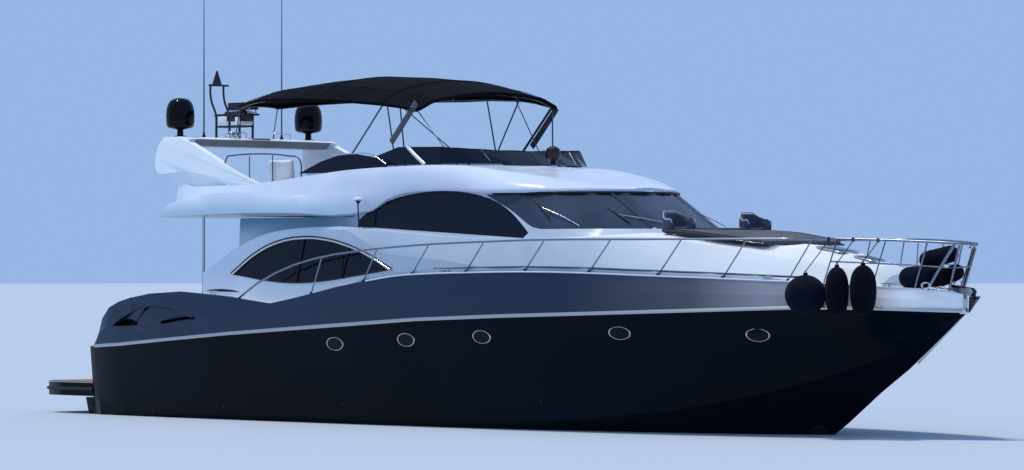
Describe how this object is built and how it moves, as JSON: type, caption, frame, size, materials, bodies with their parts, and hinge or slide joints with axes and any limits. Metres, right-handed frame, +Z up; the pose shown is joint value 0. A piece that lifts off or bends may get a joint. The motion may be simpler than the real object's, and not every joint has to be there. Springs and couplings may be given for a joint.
{
  "type": "flybridge motor yacht",
  "caption": "Flybridge motor yacht afloat, dark hull and pale superstructure, with canopy, radar arch, bathing platform, propellers and rudders.",
  "frame": {"origin": "amidships on the waterline, on the centreline", "axes": "+X towards the bow, +Y to port, +Z up"},
  "size_m": [21.8219, 5.412, 10.2],
  "materials": {
    "hull_gelcoat": "near-black blue gelcoat, polished",
    "band_gelcoat": "dark metallic blue-grey gelcoat",
    "white_gelcoat": "pale silver gelcoat, satin gloss",
    "stainless": "polished stainless tube",
    "tinted_glass": "dark tinted glass",
    "black_canvas": "black acrylic canvas and fender covers",
    "grey_canvas": "grey woven cover",
    "upholstery": "white marine vinyl",
    "varnished_wood": "varnished hardwood",
    "black_paint": "black semi-gloss paint",
    "black_plastic": "gloss black moulding",
    "white_plastic": "white fibreglass rod",
    "bronze": "cast bronze"
  },
  "bodies": {
    "boat": {"hull": "hull_gelcoat", "topside_band": "band_gelcoat", "rub_rail": "stainless", "deck": "white_gelcoat", "deckhouse": "white_gelcoat", "saloon_bulkhead": "white_gelcoat", "windscreen_starboard": "tinted_glass", "windscreen_centre": "tinted_glass", "windscreen_port": "tinted_glass", "flybridge": "white_gelcoat", "radar_arch": "white_gelcoat", "fly_windscreen": "tinted_glass", "bimini_canopy": "black_canvas", "bimini_frame": "stainless", "mast_frame": "black_paint", "pulpit_rail": "stainless", "swim_platform": "hull_gelcoat", "foredeck_sunpad": "grey_canvas", "foredeck_backrests": "grey_canvas", "fly_seating": "upholstery", "fly_helm": "white_gelcoat", "fly_stair": "stainless", "cockpit_settee": "upholstery", "cockpit_table": "varnished_wood", "saloon_furniture": "varnished_wood", "lower_helm": "black_paint", "windlass": "stainless", "anchor": "black_paint", "anchor_roller": "stainless", "fender_ball": "black_canvas", "fender_pear_aft": "black_canvas", "fender_pear_forward": "black_canvas", "stowed_fenders": "black_canvas", "side_window_starboard": "tinted_glass", "side_window_port": "tinted_glass", "aft_surround_starboard": "white_gelcoat", "aft_surround_port": "white_gelcoat", "aft_window_starboard": "tinted_glass", "aft_window_port": "tinted_glass", "fly_side_pane_starboard": "tinted_glass", "fly_side_pane_port": "tinted_glass", "guard_rail_starboard": "stainless", "guard_rail_port": "stainless", "radome_starboard": "black_plastic", "radome_port": "black_plastic", "antenna_starboard": "white_plastic", "antenna_port": "white_plastic", "overhang_post_starboard": "stainless", "overhang_post_port": "stainless", "shaft_strut_starboard": "bronze", "shaft_strut_port": "bronze"},
    "propeller_starboard": {"propeller_starboard": "bronze"},
    "propeller_port": {"propeller_port": "bronze"},
    "rudder_starboard": {"rudder_starboard": "bronze"},
    "rudder_port": {"rudder_port": "bronze"},
    "saloon_door": {"saloon_door": "tinted_glass"},
    "garage_door": {"garage_door": "hull_gelcoat"},
    "anchor_locker_lid": {"anchor_locker_lid": "white_gelcoat"},
    "radar_scanner": {"radar_scanner": "black_paint"},
    "searchlight": {"searchlight": "black_paint"}
  },
  "joints": [
    {"name": "propeller_starboard_spin", "type": "hinge", "parent": "boat", "child": "propeller_starboard", "pos_m": [-8.15, -1, -1], "axis": [0.9903, 0, 0.1392], "continuous": true},
    {"name": "propeller_port_spin", "type": "hinge", "parent": "boat", "child": "propeller_port", "pos_m": [-8.15, 1, -1], "axis": [0.9903, 0, 0.1392], "continuous": true},
    {"name": "rudder_starboard_turn", "type": "hinge", "parent": "boat", "child": "rudder_starboard", "pos_m": [-8.85, -1, -0.6], "axis": [0, 0, 1], "range_deg": [-35, 35]},
    {"name": "rudder_port_turn", "type": "hinge", "parent": "boat", "child": "rudder_port", "pos_m": [-8.85, 1, -0.6], "axis": [0, 0, 1], "range_deg": [-35, 35]},
    {"name": "saloon_door_slide", "type": "slide", "parent": "boat", "child": "saloon_door", "axis": [0, 1, 0], "range_m": [0, 1.2]},
    {"name": "garage_door_lift", "type": "hinge", "parent": "boat", "child": "garage_door", "pos_m": [-9.605, 0, 1.29], "axis": [0, 1, 0], "range_deg": [0, 85]},
    {"name": "anchor_locker_lid_lift", "type": "hinge", "parent": "boat", "child": "anchor_locker_lid", "pos_m": [8.83, 0, 2.4471], "axis": [0, -1, 0], "range_deg": [0, 80]},
    {"name": "radar_scanner_spin", "type": "hinge", "parent": "boat", "child": "radar_scanner", "pos_m": [-7.75, 0, 5.9], "axis": [0, 0, 1], "continuous": true},
    {"name": "searchlight_pan", "type": "hinge", "parent": "boat", "child": "searchlight", "pos_m": [0.72, 0, 4.75], "axis": [0, 0, 1], "range_deg": [-170, 170]}
  ],
  "couplings": [
    {"joint": "rudder_port_turn", "follows": "rudder_starboard_turn", "ratio": 1}
  ]
}
